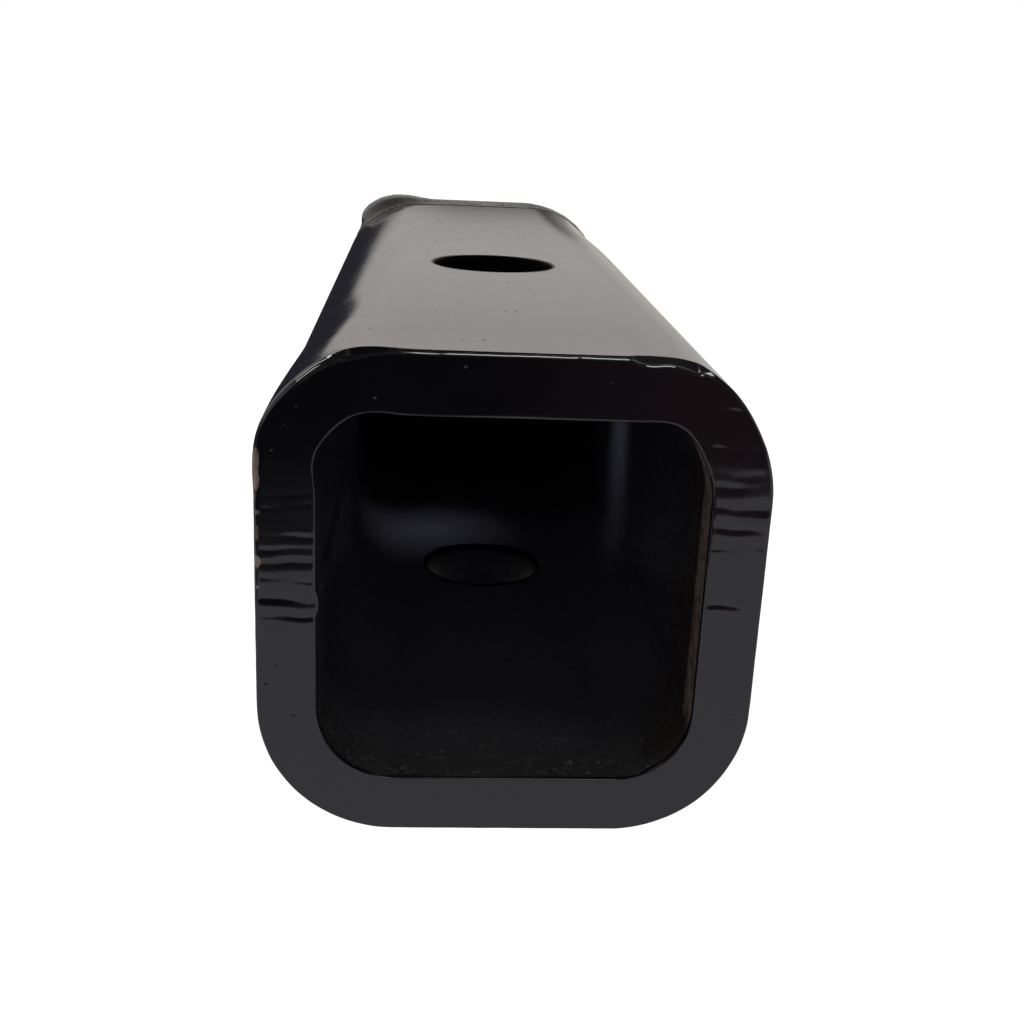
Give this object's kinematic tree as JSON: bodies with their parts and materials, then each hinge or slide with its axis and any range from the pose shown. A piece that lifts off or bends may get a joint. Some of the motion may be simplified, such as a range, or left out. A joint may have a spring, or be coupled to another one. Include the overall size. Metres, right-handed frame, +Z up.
{
  "type": "drop ball mount",
  "caption": "Drop ball mount: hollow square shank with a pin hole, and a bent plate welded across its end that drops to a ball platform with a stem hole.",
  "frame": {"origin": "centre of the pin hole, on the axis of the square shank", "axes": "+Y along the shank from its open end towards the ball, +Z up along the pin hole, +X to the right as seen from the open end"},
  "size_m": [0.0636, 0.26, 0.1197],
  "materials": {
    "shank_coat": "gloss black coat",
    "plate_coat": "gloss black coat",
    "weld_coat": "gloss black coat over a rippled weld"
  },
  "bodies": {
    "root": {"shank_tube": "shank_coat", "drop_plate": "plate_coat", "end_weld": "weld_coat"}
  },
  "joints": []
}
